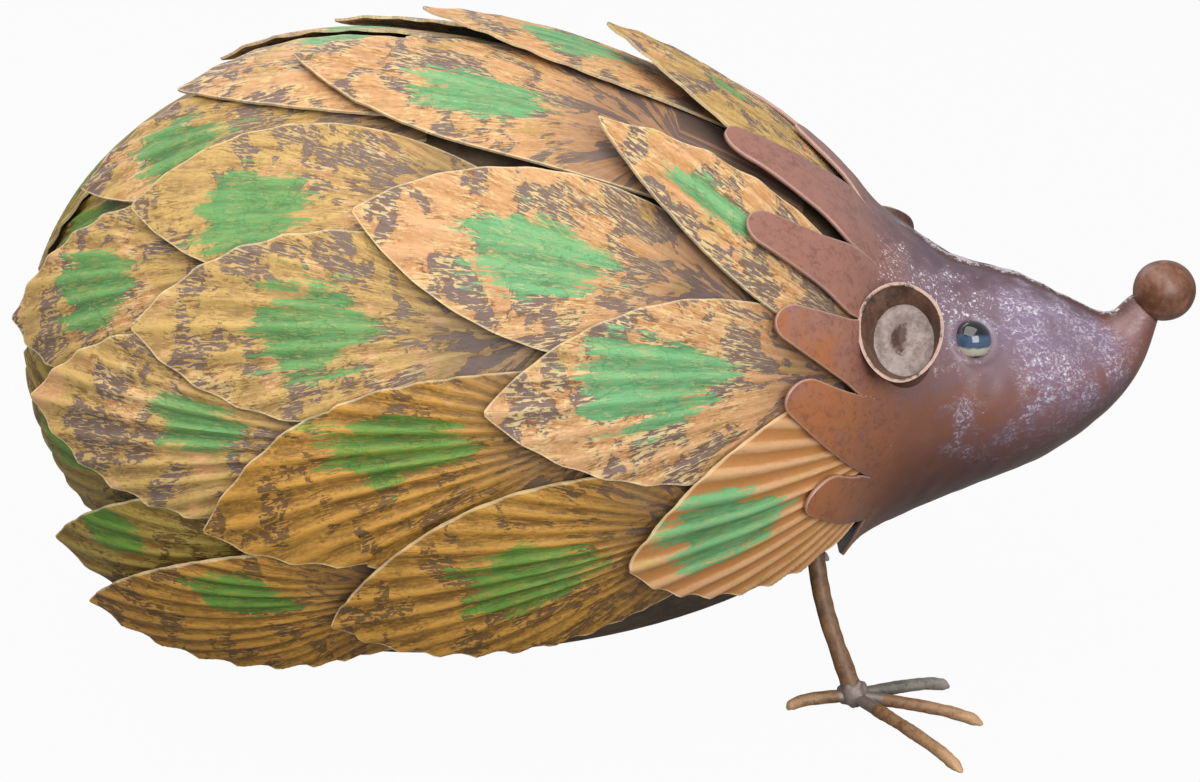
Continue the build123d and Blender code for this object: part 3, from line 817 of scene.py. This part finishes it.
@dataclass
class Head:
    """Head: a lacquered cone with a skirt of tongues over the collar, a nose ball, eyes and cup ears."""

    body: BodyForm
    wall: float = 0.0012
    seat_angle: float = 64.5
    lift: float = 0.00033
    seat_gap: float = 0.0003
    skirt_angles: tuple = (26, 30, 34, 38, 42, 47, 52, 58)
    snout_reach: float = 0.076
    snout_radius: float = 0.051
    snout_rise: float = 0.0125
    snout_shares: tuple = (
        (0.14, 0.867, -0.05, 0),
        (0.31, 0.731, -0.10, 0),
        (0.51, 0.627, 0.02, 0),
        (0.70, 0.506, 0.24, 8),
        (0.88, 0.337, 0.58, 22),
        (1.00, 0.186, 1.00, 38),
    )
    neck: tuple[float, float, float, float] = (0.0052, 0.0098, 50, 0.0052)
    tongue_length: float = 0.0455
    tongue_tip: float = 0.0052
    tongue_shares: tuple = (
        (12, 37, 1.00, 0.20, 0),
        (37, 57.3, 0.85, 0.20, 3.2),
        (57.3, 80.3, 0.66, 0.08, 6.5),
        (80.3, 107.7, 0.58, 0.02, 16),
        (107.7, 130.5, 0.42, 0.02, 15),
    )
    top_tongue: tuple = (-12, 12, 0.55, 0.10, 0)
    tongue_lift: float = 0.0004
    root_flare: float = 0.004
    ahead_share: float = 1.75
    stub_length: float = 0.005
    hammering: tuple = ((0.0005, 0.025, 71), (0.0002, 0.009, 72))
    bead_half: float = 2.4
    bead_height: float = 0.0007
    bead_lumps: float = 0.0006
    bead_lump_size: float = 0.006
    nose_radius: float = 0.0091
    eye_radius: float = 0.0058
    eye_sink: float = 0.0019
    eye_spot: tuple[float, float] = (0.02775, 54)
    eye_rim: tuple[float, float, float] = (0.0069, 0.0012, 0.0006)
    eye_pit: tuple[float, float] = (0.005, 0.001)
    ear_spot: tuple[float, float] = (0.0045, 61)
    ear_way: tuple[float, float, float] = (0, -0.83, 0.56)
    ear_rim: tuple[float, float] = (0.023, 0.028)
    ear_waist_share: float = 0.80
    ear_depth: float = 0.010
    ear_root_depth: float = 0.0095
    ear_lean: tuple[float, float] = (0.0016, 0.0013)
    ear_wall: float = 0.0009
    disc_depth: float = 0.005
    disc_thickness: float = 0.0008
    disc_room: float = 0.002
    ear_columns: int = 72
    rows_per_section: int = 16
    rows_per_tongue: int = 40
    columns_per_tongue: int = 25
    far_from_edge: float = 20

    def skirt(self, angle: Array) -> tuple[Array, Array]:
        """Reach and radius of the skirt's outside at an angle along the body."""
        height = self.seat_gap + (self.seat_angle - angle) * self.lift + self.wall
        return self.body.station(np.radians(angle), height)

    @property
    def root(self) -> tuple[float, float]:
        """Reach and radius where the tongues leave the head."""
        run, radius = self.skirt(np.array(self.skirt_angles[-1]))
        return float(run), float(radius)

    def sections(self) -> Array:
        """Reach, rise, lean and radius of the head's sections from the skirt's hem to the neck."""
        run = self.root[0]
        rows = [(reach, 0, 0, radius) for reach, radius in zip(*self.skirt(np.array(self.skirt_angles)))]
        for reach_share, radius_share, rise_share, lean in self.snout_shares:
            reach = run + self.snout_reach * reach_share
            rows.append((reach, self.snout_rise * rise_share, math.radians(lean), self.snout_radius * radius_share))
        forward, rise, lean, radius = self.neck
        rows.append((rows[-1][0] + forward, rows[-1][1] + rise, math.radians(lean), radius))
        return np.array(rows)

    def ring(self, section: Array, around: Array) -> Array:
        """Circles of radius in planes that lean back: rows of sections by columns of angles."""
        run, rise, lean, radius = (section[:, place, None, None] for place in range(4))
        up = np.cos(lean) * self.body.upward - np.sin(lean) * self.body.forward
        middle = np.array(self.body.centre) + run * self.body.forward + rise * self.body.upward
        turn = around[..., None]
        return middle + radius * (np.cos(turn) * up + np.sin(turn) * np.array([0, -1, 0]))

    def spot(self, reach: float, around: float) -> tuple[Array, Array]:
        """Place on the head at a reach ahead of the tongue roots, and the way out from it there."""
        rows = self.sections()
        at = self.root[0] + reach
        radius = np.interp(at, rows[:, 0], rows[:, 3])
        rise = np.interp(at, rows[:, 0], rows[:, 1])
        ahead = int(np.searchsorted(rows[:, 0], at))
        slope = (rows[ahead - 1, 3] - rows[ahead, 3]) / (rows[ahead, 0] - rows[ahead - 1, 0])
        out = self.body.out(np.array(math.radians(around)))
        place = np.array(self.body.centre) + at * self.body.forward + rise * self.body.upward + radius * out
        way = out + slope * self.body.forward
        return place, way / np.linalg.norm(way)

    def tongues(self) -> list[tuple[float, float, float, float, float]]:
        """First and last angle at the root, length, straight part and turn of the tip, in order round the head."""
        rows = [self.top_tongue]
        for first, last, length, straight, turn in self.tongue_shares:
            rows += [(first, last, length, straight, -turn), (-last, -first, length, straight, turn)]
        end = self.tongue_shares[-1][1]
        rows.append((end, 360 - end, self.stub_length / self.tongue_length, 0, 0))
        return sorted(rows)

    def tongue_edges(self, behind: Array, wide: float, straight: float, length: float, swing: float) -> list[Array]:
        """Both edges of a tongue: lines from its straight part that run smoothly into the round of its tip.

        Args:
            behind: Ways back from the root.
            wide: Half of the root's width.
            straight: How far back the edges stay parallel.
            length: The tongue's length.
            swing: How far the tip lies beside the root's middle.

        Returns:
            The places of the first and last edge beside the root's middle.
        """
        if length <= self.stub_length:
            return [side * wide * (1 - 0.4 * behind / length) for side in (-1, 1)]
        tip = min(self.tongue_tip, wide)
        centre = max(length - self.tongue_tip, 0.3 * length)
        stretch = (length - centre) / tip
        along, start = (behind - centre) / stretch, (straight - centre) / stretch
        cap = tip * np.sqrt(np.clip(1 - (along / tip) ** 2, 0.0016, 1))
        edges = []
        for side in (-1, 1):
            high = wide - side * swing
            touch = math.atan2(high, start) - math.acos(min(1, tip / math.hypot(start, high)))
            ahead, top = tip * math.cos(touch), tip * math.sin(touch)
            line = high + (top - high) * np.clip((along - start) / (ahead - start), 0, None)
            edges.append(swing + side * np.where(along < ahead, line, cap))
        return edges

    def strip(self, tongue: tuple, snout: Array, skirt: Array) -> tuple[Array, dict[str, Array]]:
        """One tongue with the strip of the snout ahead of it.

        Args:
            tongue: First and last angle at the root, length and straight part as shares, and turn of the tip.
            snout: Sections from the tongues' roots to the neck.
            skirt: Sections from the hem to the tongues' roots.

        Returns:
            A grid of points from the tongue's tip to the neck, and the marks of its points.
        """
        first, last, length_share, straight_share, tip_turn = tongue
        length, straight = self.tongue_length * length_share, self.tongue_length * straight_share
        middle, half = math.radians(first + last) / 2, math.radians(last - first) / 2
        run, radius = self.root
        reaches, radii = skirt[:, 0], skirt[:, 3]
        across = np.linspace(-1, 1, self.columns_per_tongue)[None, :]
        turn = middle + half * across
        cone = self.ring(snout, np.broadcast_to(turn, (len(snout), turn.shape[1])))
        behind = np.sin(np.linspace(0, math.pi / 2, self.rows_per_tongue))[1:, None] * length
        here = np.interp(run - behind, reaches, radii)
        swing = math.radians(tip_turn) * np.interp(run - length + self.tongue_tip, reaches, radii)
        first_edge, last_edge = self.tongue_edges(behind, half * radius, straight, length, swing)
        narrow = (last_edge - first_edge) / 2
        flare = 1 + (here / radius - 1) * ease(behind, 1.6 * straight + self.root_flare, 0.6 * straight)
        bend = middle + ((first_edge + last_edge) / 2 + narrow * across) * flare / here
        lift = self.tongue_lift * (behind / length) ** 2
        flap = np.array(self.body.centre) + (run - behind)[..., None] * self.body.forward
        flap = flap + (here + lift)[..., None] * self.body.out(bend)
        grid = np.concatenate([flap[::-1], cone])
        ahead = np.linspace(0, 1, len(snout))[:, None]
        off_top = np.abs(np.arctan2(np.sin(turn), np.cos(turn)))
        thick = np.concatenate([np.full((len(flap), 1), self.snout_radius), snout[:, 3:4]])
        whole = np.full((len(snout), across.shape[1]), self.far_from_edge)
        marks = {
            "front": np.concatenate([np.zeros((len(flap), 1)), ahead]),
            "low": off_top / math.pi,
            "seam": thick * off_top * MM,
            "tongue": np.concatenate([(behind / self.tongue_length)[::-1], ahead * -self.ahead_share]),
            "edge": np.concatenate([((1 - np.abs(across)) * narrow * MM)[::-1], whole]),
        }
        return grid, {key: np.broadcast_to(value, grid.shape[:2]) for key, value in marks.items()}

    def shell(self) -> bpy.types.Object:
        """The head: strips side by side round it, worked by hand and given their thickness."""
        sections = self.sections()
        rows = smooth_through(sections, self.rows_per_section * (len(sections) - 1) + 1)
        at_root = self.rows_per_section * (len(self.skirt_angles) - 1)
        strips = [self.strip(tongue, rows[at_root:], rows[: at_root + 1]) for tongue in self.tongues()]
        points = np.stack([grid for grid, _ in strips])
        marks = {key: np.stack([found[key] for _, found in strips]).reshape(-1) for key in strips[0][1]}
        quads = Form.quads(*points.shape[1:3])
        step = points.shape[1] * points.shape[2]
        form = Form()
        faces = np.concatenate([quads + step * place for place in range(len(strips))])
        form.add(self.worked(points.reshape(-1, 3), marks), faces, **marks)
        made = form.piece("head_shell_lacquered", merge=True, crease=60)
        wall = made.modifiers.new("wall", "SOLIDIFY")
        wall.thickness, wall.offset, wall.use_even_offset = self.wall, -1, True
        return made

    def worked(self, points: Array, marks: dict[str, Array]) -> Array:
        """Points moved by hammer marks, the weld along the top, raised rims round the eyes and hollows in the ears."""
        axis = np.array(self.body.centre)
        run = (points - axis) @ self.body.forward
        off = points - axis - run[:, None] * self.body.forward
        off /= np.linalg.norm(off, axis=1)[:, None]
        bead = np.exp(-((marks["seam"] / self.bead_half) ** 2)) * (marks["tongue"] <= 0)
        bead *= ease(marks["front"], 0.05, 0.2)
        move = sum(depth * ripple(points, size, seed) for depth, size, seed in self.hammering)
        move += bead * (self.bead_height + self.bead_lumps * ripple(points, self.bead_lump_size, 73))
        rim, rim_width, rim_height = self.eye_rim
        pit, pit_depth = self.eye_pit
        for side, _ in SIDES:
            gap = np.linalg.norm(points - self.spot(*self.eye_spot)[0] * np.array([1, side, 1]), axis=1)
            move += rim_height * np.exp(-(((gap - rim) / rim_width) ** 2)) - pit_depth * np.exp(-((gap / pit) ** 4))
        points = points + move[:, None] * off
        for side, _ in SIDES:
            middle, ahead, up, out = self.ear_axes(side)
            away = points - middle
            wide = (away @ ahead - self.ear_lean[0]) / (self.ear_rim[0] / 2 * self.ear_waist_share)
            tall = (away @ up + self.ear_lean[1]) / (self.ear_rim[1] / 2 * self.ear_waist_share)
            sink = np.clip(away @ out - (self.ear_depth - self.disc_depth - self.disc_room), 0, None)
            points = points - (sink * ease(np.hypot(wide, tall), 1.0, 0.93))[:, None] * out
        return points

    def ball(self, name: str, centre: Array, radius: float, dents: float, seed: int) -> bpy.types.Object:
        """A ball as rings of latitude, with soft dents."""
        way = sphere_ways(48, 33, 0.03)
        size = radius + dents * ripple(way, 1.6, seed)
        form = Form()
        # the worn mark rises towards the top of the ball: on the nose it gathers light mauve patches on the top as
        # painted light
        form.tube(centre + way * size[..., None], worn=ease(way[..., 2], 0.2, 1.0) * 0.35, high=way[..., 2])
        return form.piece(name)

    def nose(self) -> bpy.types.Object:
        """The nose ball, resting on the end of the neck."""
        run, rise, lean, radius = self.sections()[-1]
        way = math.cos(lean) * self.body.forward + math.sin(lean) * self.body.upward
        base = np.array(self.body.centre) + run * self.body.forward + rise * self.body.upward
        centre = base + way * math.sqrt(self.nose_radius**2 - radius**2)
        return self.ball("nose_ball_worn", centre, self.nose_radius, 0.0003, 81)

    def ear_axes(self, side: int) -> tuple[Array, Array, Array, Array]:
        """Middle of an ear's root on the head and its three directions: ahead, up its face and out."""
        flip = np.array([1, side, 1])
        out = np.array(self.ear_way) / np.linalg.norm(self.ear_way)
        ahead = np.array([1.0, 0, 0])
        return self.spot(*self.ear_spot)[0] * flip, ahead, np.cross(out, ahead) * flip, out * flip

    def ear_ring(self, side: int, depth: Array, turn: Array, grow: Array) -> Array:
        """Ovals across an ear at depths below its rim: they shrink to the waist and lean ahead and down."""
        middle, ahead, up, out = self.ear_axes(side)
        share = np.minimum(1, depth / self.disc_depth)
        size = 1 - (1 - self.ear_waist_share) * share
        wide = (self.ear_rim[0] / 2 * size + grow) * np.cos(turn) + self.ear_lean[0] * share
        tall = (self.ear_rim[1] / 2 * size + grow) * np.sin(turn) - self.ear_lean[1] * share
        return middle + wide[..., None] * ahead + tall[..., None] * up + (self.ear_depth - depth)[..., None] * out

    def ear_cup(self, side: int, name: str) -> bpy.types.Object:
        """The ear's wall: ovals that widen from the head to a rolled, uneven rim, with an inner face."""
        out = self.ear_axes(side)[3]
        turn = whole_turn(self.ear_columns)
        share = np.linspace(1, 0, 34)[:, None] ** 1.6
        depth = share * (self.ear_depth + self.ear_root_depth)
        near = ease(depth, 0.004, 0.0)
        flare = 0.0003 * ease(depth, 0.002, 0.0) + 0.00025 * np.sin(3 * turn + 0.6) * near
        rim = (0.0006 * np.sin(2 * turn + 1.1) + 0.0003 * np.sin(5 * turn)) * near
        outer, inner = (self.ear_ring(side, depth, turn, flare - inset) for inset in (0, self.ear_wall))
        rings = np.concatenate([outer + rim[..., None] * out, (inner + rim[..., None] * out)[::-1]])
        worn = np.concatenate([ease(depth, 0.0006, 0) * 0.9, ease(depth, 0.0003, 0)[::-1] * 0.7])
        form = Form()
        form.tube(rings, worn=worn)
        return form.piece(name, crease=40)

    def ear_disc(self, side: int, name: str) -> bpy.types.Object:
        """The pressed disc: an oval whose face swirls in soft folds towards a dimple."""
        out = self.ear_axes(side)[3]
        turn = whole_turn(self.ear_columns)
        share = np.linspace(0.03, 1, 30)[:, None]
        edge = self.ear_ring(side, np.full_like(share, self.disc_depth), turn, -0.5 * self.ear_wall)
        centre = edge.mean(axis=1, keepdims=True)
        place = (edge - centre) * share[..., None]
        fold = np.sin(turn * side + 4.2 * share + 2.0) * share * (1 - share) * 4
        relief = 0.0010 * fold - 0.0014 * np.exp(-((share / 0.3) ** 2)) + 0.0003 * ripple(place, 0.004, 91) * share
        face = centre + place + relief[..., None] * out
        under = face - self.disc_thickness * out
        form = Form()
        wide, tall = share * np.cos(turn), share * np.sin(turn)
        comma = 0.95 * np.exp(-(((wide + 0.2 - 0.6 * (tall + 0.1) ** 2) / 0.42) ** 2) - ((tall - 0.05) / 0.75) ** 2)
        form.tube(np.concatenate([face, under[::-1]]), worn=np.concatenate([comma, comma[::-1]]))
        return form.piece(name, crease=40)

    def dress(self) -> None:
        """Make the head's pieces, paint them and set them in place of their nodes."""
        lacquer = HeadPaint().material()
        ear_coat = PlainCoat("ear_coat", "#3f2a21", "#70503f", "#b8998a", 0.48)
        disc_coat = PlainCoat("ear_disc_coat", "#73615a", "#a59790", "#4c352d", 0.55, 220)
        # the nose's light mauve worn colour gathers on its top: painted light
        nose_coat = PlainCoat("nose_coat", "#5e3a22", "#8f6552", "#b59086", 0.36, 120, 0.0002)
        glass = EyeGlass().material()
        settle(self.shell(), "head_shell", lacquer)
        settle(self.nose(), "nose_ball", nose_coat.material())
        cup_paint, disc_paint = ear_coat.material(), disc_coat.material()
        place, way = self.spot(*self.eye_spot)
        for side, word in SIDES:
            centre = (place - way * self.eye_sink) * np.array([1, side, 1])
            eye = self.ball(word + "_eye_bead", centre, self.eye_radius, 0.00006, 83)
            settle(eye, word + "_eye", glass)
            settle(self.ear_cup(side, word + "_ear_cup_rolled"), word + "_ear_cup", cup_paint)
            settle(self.ear_disc(side, word + "_ear_disc_pressed"), word + "_ear_disc", disc_paint)


@dataclass
class Feet:
    """Two legs of bent rod, each with four toes welded to a lumpy ankle."""

    body: BodyForm
    leg_radius: float = 0.0027
    ankle_radius: float = 0.0056
    toe_radius: float = 0.00175
    toe_start: float = 0.005
    knuckle_share: float = 0.72
    knuckle_height: float = 0.004
    spread: float = 0.0575
    lean: float = 0.013
    splay: float = 0.030
    leg_height: float = 0.050
    leg_steps: int = 60
    toe_steps: int = 56
    drop_height: float = 0.0026
    tip_room: float = 0.0006
    sag: float = 0.0002
    leg_roughness: float = 0.00018
    toe_roughness: float = 0.00012
    reaches: tuple = (("right", -1, 0.138), ("left", 1, 0.106))
    toes: tuple = (("outer", 0.045, 51), ("middle", 0.038, 12), ("inner", 0.033, -26), ("hind", 0.020, 172))

    def rod(self, path: Array, radius: Array, flat: Array, beside: Array, sides: int = 24) -> Array:
        """Rings along a path: circles, pressed flat by a share, square to the path's tangent."""
        tangent = np.gradient(path, axis=0)
        tangent /= np.linalg.norm(tangent, axis=1)[:, None]
        across = np.cross(tangent, beside)
        across /= np.linalg.norm(across, axis=1)[:, None]
        over = np.cross(across, tangent)
        turn = whole_turn(sides)[..., None]
        ring = np.cos(turn) * across[:, None] + np.sin(turn) * over[:, None] * flat[:, None, None]
        return path[:, None] + ring * radius[:, None, None]

    def leg(self, ankle: Array, sign: int, name: str) -> bpy.types.Object:
        """The leg: a rod through hip, knee and ankle, and a lumpy weld where the toes meet."""
        hip = ankle + np.array([-self.lean, -sign * self.splay, self.leg_height])
        knee = ankle + np.array([-0.75 * self.lean, -sign * self.splay / 2, self.leg_height / 2])
        path = smooth_through(np.array([hip, knee, ankle]), self.leg_steps)
        down = np.linspace(0, 1, self.leg_steps)
        size = self.leg_radius * (1 + 0.08 * ripple(path, 0.012, 31) + 0.25 * ease(down, 0.9, 1.0))
        form = Form()
        rings = self.rod(path, size, np.ones(self.leg_steps), np.array([0, 1.0, 0.3]))
        rings = rings + self.leg_roughness * ripple(rings, 0.004, 32)[..., None]
        form.tube(rings, tip=0.0, weld=ease(down, 0.93, 1.0)[:, None])
        way = sphere_ways(40, 27, 0.04)
        lump = self.ankle_radius * (0.78 + 0.2 * ripple(way, 0.8, 33 + sign))
        weld = ankle + way * lump[..., None] * np.array([1.0, 0.75, 0.95])
        # the lump's weld mark turns it grey: bare weld metal with a painted highlight
        form.tube(weld, tip=0.0, weld=0.75)
        return form.piece(name)

    def toe(self, ankle: Array, sign: int, length: float, heading: float, name: str, seed: int) -> bpy.types.Object:
        """A toe: a rod out to its knuckle and bent down to a flattened, tapered tip that rests on the ground."""
        away = np.array([math.cos(math.radians(heading)), sign * math.sin(math.radians(heading)), 0])
        ground = np.array([ankle[0], ankle[1], 0])
        up = np.array([0, 0, 1.0])
        knots = [
            ground + up * self.toe_start,
            ground + away * length * 0.38 + up * (self.toe_start - self.sag),
            ground + away * length * self.knuckle_share + up * self.knuckle_height,
            ground + away * length * 0.9 + up * self.drop_height,
            ground + away * (length - self.tip_room) + up * self.toe_radius * 0.75,
        ]
        path = smooth_through(np.array(knots), self.toe_steps)
        out = np.linspace(0, 1, self.toe_steps)
        size = self.toe_radius * (1.08 - 0.1 * out + 0.1 * ripple(path, 0.01, seed))
        size = size * (1 - 0.45 * ease(out, 0.76, 1.0)) * (1 - 0.6 * ease(out, 0.965, 1.0))
        flat = 1 - 0.3 * ease(out, 0.72, 0.95)
        rings = self.rod(path, size, flat, up)
        rings = rings + self.toe_roughness * ripple(rings, 0.003, seed + 1)[..., None]
        rings[..., 2] = np.maximum(rings[..., 2], 0)
        form = Form()
        form.tube(rings, tip=out[:, None], weld=ease(out, 0.2, 0.1)[:, None])
        return form.piece(name)

    def dress(self) -> None:
        """Make both feet, paint them and set them in place of their nodes."""
        rod_paint = RodPaint().material("rod_paint")
        grey_paint = RodPaint("#2f2e2a", "#6f6a60", "#9c958c", "#8a817b").material("inner_toe_paint")
        for side, sign, reach in self.reaches:
            ankle = np.array([self.body.centre[0] + reach, sign * self.spread, self.ankle_radius])
            settle(self.leg(ankle, sign, side + "_leg_rod"), side + "_leg", rod_paint)
            for seed, (word, length, heading) in enumerate(self.toes):
                node = side + "_toe_" + word
                made = self.toe(ankle, sign, length, heading, node + "_rod", 40 + seed * 3)
                settle(made, node, grey_paint if word == "inner" else rod_paint)


@dataclass
class Studio:
    """Pale floor, soft light and the camera of the photograph."""

    target: tuple[float, float, float] = (-0.00171, 0.0, 0.0765)
    distance: float = 0.600
    elevation: float = math.radians(20)
    azimuth: float = math.radians(4)
    focal_pixels: float = 1942
    image_width: float = 1200
    sensor: float = 36
    floor_half: float = 6.0
    floor_glow: tuple[float, float] = (0.96, 0.1)
    sky_tint: str = "#f2f4ff"
    sky_strength: float = 0.42
    lamps: tuple = (
        ("overhead", (-0.2, -0.35, 1.3), 1.4, 14.5, "#fffaf2"),
        ("front", (0.5, -1.3, 0.7), 1.0, 16, "#ffffff"),
        ("rear", (-0.6, 1.1, 0.9), 1.0, 5, "#f4f6ff"),
    )

    def camera(self) -> None:
        """Camera on the photograph's line of sight."""
        low, aside = math.cos(self.elevation), math.sin(self.azimuth)
        back = Vector((aside * low, -math.cos(self.azimuth) * low, math.sin(self.elevation)))
        made = bpy.data.cameras.new("camera")
        made.sensor_width = self.sensor
        made.lens = self.focal_pixels / self.image_width * self.sensor
        made.clip_start, made.clip_end = 0.01, 50
        eye = link("camera", made)
        eye.location = Vector(self.target) + back * self.distance
        eye.rotation_euler = (-back).to_track_quat("-Z", "Y").to_euler()
        bpy.context.scene.camera = eye

    def floor(self) -> None:
        """Floor that a camera sees as near white, with the object's soft shadow."""
        half = self.floor_half
        corners = [(-half, -half, 0), (half, -half, 0), (half, half, 0), (-half, half, 0)]
        mesh = bpy.data.meshes.new("floor")
        mesh.from_pydata(corners, [], [(0, 1, 2, 3)])
        made = link("floor", mesh)
        s = Shade("floor_white")
        grain = s.noise(s.place(), 40, 3, 0.5)
        s.finish(Base_Color=grain.mix("#6e6e6e", "#787878"), Roughness=0.9)
        glow = s.node("ShaderNodeEmission", {}, {"Color": "#ffffff", "Strength": 1.0})
        share = s.ray("Camera") * self.floor_glow[0] + s.ray("Glossy") * self.floor_glow[1]
        mixed = s.node("ShaderNodeMixShader", {}, {0: share, 1: Value(s, s.shader.outputs[0]), 2: glow})
        s.feed(s.tree.nodes["Material Output"].inputs["Surface"], mixed)
        made.data.materials.append(s.material)

    def lamp(self, name: str, place: tuple, size: float, power: float, tint: str) -> None:
        """A square soft lamp aimed at the object."""
        made = bpy.data.lights.new(name, "AREA")
        made.shape, made.size, made.energy = "SQUARE", size, power
        made.color = colour(tint)[:3]
        lamp = link(name, made)
        lamp.location = place
        lamp.rotation_euler = (Vector(self.target) - Vector(place)).to_track_quat("-Z", "Y").to_euler()

    def sky(self) -> None:
        """Even sky that a camera sees as white."""
        world = bpy.data.worlds.new("studio_sky")
        world.use_nodes = True
        n = Nodes(world.node_tree)
        light = n.node("ShaderNodeBackground", {}, {"Color": self.sky_tint, "Strength": self.sky_strength})
        white = n.node("ShaderNodeBackground", {}, {"Color": "#ffffff", "Strength": 1.0})
        mixed = n.node("ShaderNodeMixShader", {}, {0: n.ray("Camera"), 1: light, 2: white})
        n.feed(n.tree.nodes["World Output"].inputs["Surface"], mixed)
        bpy.context.scene.world = world

    def build(self) -> None:
        """Set the whole studio."""
        bpy.context.scene.view_settings.view_transform = "Standard"
        self.camera()
        self.floor()
        self.sky()
        for row in self.lamps:
            self.lamp(*row)


def settle(piece: bpy.types.Object, node: str, paint: bpy.types.Material) -> None:
    """Paint a piece and set it in place of its node.

    Args:
        piece: The piece.
        node: The solid that it stands for.
        paint: Its material.
    """
    piece.data.materials.append(paint)
    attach(piece, BODY)
    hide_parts(node)
    log.info("%s: %d faces", piece.name, len(piece.data.polygons))


def dress_core(nodes: dict[str, bpy.types.Object]) -> None:
    """Brown scale on the body's own sheets, which show only between the plates and underneath: their own colour, kept
    dark also as painted shade in the gaps.
    """
    # dark brown: the sheets' own colour, kept dark also as painted shade in the gaps between the plates
    scale = PlainCoat("core_sheet", "#3b2f22", "#6a5740", "#8a7858", 0.7, 60, 0.0006).material()
    for name in ("core_right", "core_left", "belly_plate"):
        nodes[name].data.materials.clear()
        nodes[name].data.materials.append(scale)
        log.info("%s: painted", name)


def main() -> None:
    """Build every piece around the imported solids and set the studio."""
    logging.basicConfig(level=logging.INFO, format="%(message)s")
    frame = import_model()
    body = BodyForm()
    LeafCoat(body).dress()
    Head(body).dress()
    Feet(body).dress()
    dress_core(frame["nodes"])
    Studio().build()


if __name__ == "__main__":
    main()
